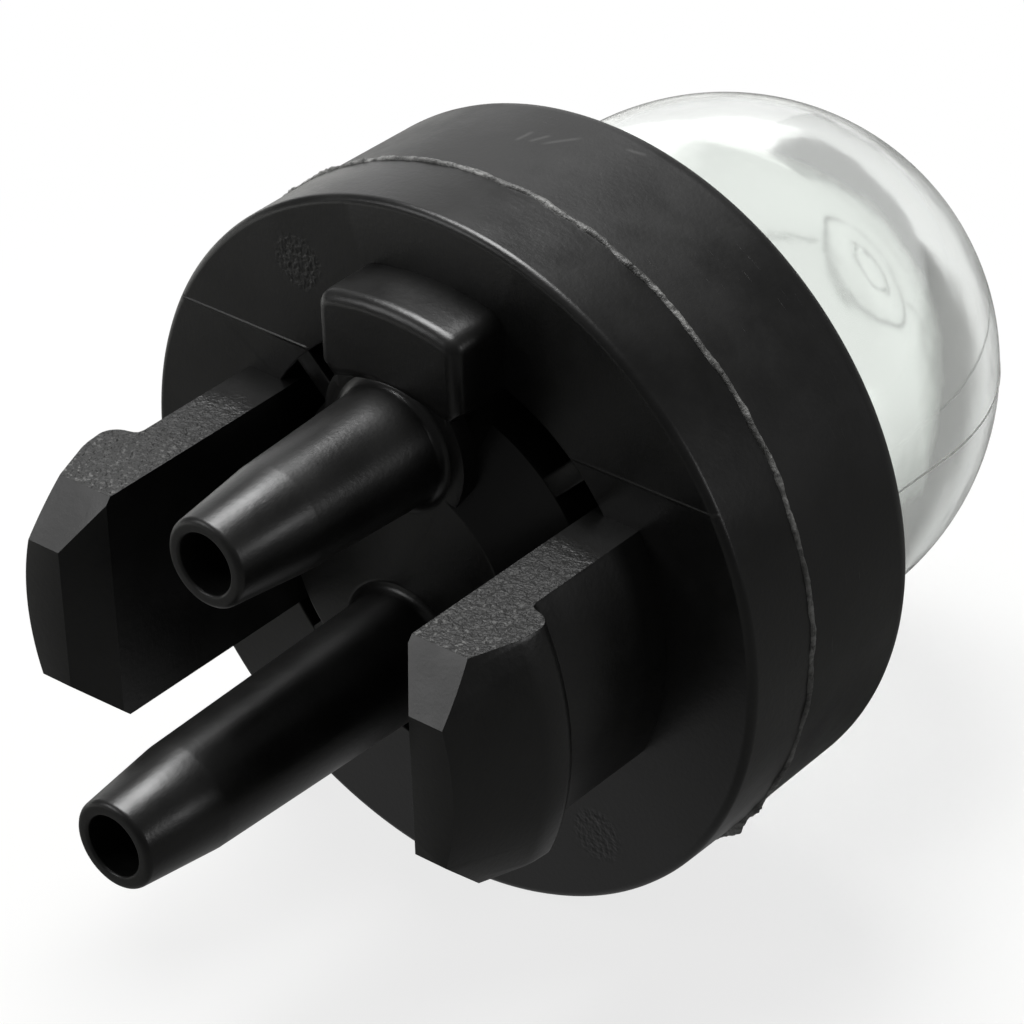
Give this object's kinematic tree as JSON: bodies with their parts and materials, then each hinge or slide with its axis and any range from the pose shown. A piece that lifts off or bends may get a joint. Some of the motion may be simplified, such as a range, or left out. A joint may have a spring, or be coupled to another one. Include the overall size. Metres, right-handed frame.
{
  "type": "primer bulb",
  "caption": "Snap-in fuel primer bulb: a clear squeeze dome in a black collar, with hose nipples and snap legs behind the panel.",
  "frame": {"origin": "on the bulb's axis, in the plane of the flange face that rests on the panel", "axes": "+Y from the panel along the hose nipples and snap legs, the dome towards -Y; +Z from the outlet nipple to the inlet nipple; +X across, from leg to leg"},
  "size_m": [0.022, 0.0343, 0.022],
  "materials": {
    "black_nylon": "satin moulded black, eroded texture on the legs",
    "collar_nylon": "satin moulded black, with a rough weld line",
    "clear_vinyl": "clear soft vinyl with a faint green-grey tint",
    "valve_rubber": "matt black rubber"
  },
  "bodies": {
    "root": {"base": "black_nylon", "retaining_collar": "collar_nylon", "bulb": "clear_vinyl", "check_valve": "valve_rubber"}
  },
  "joints": []
}
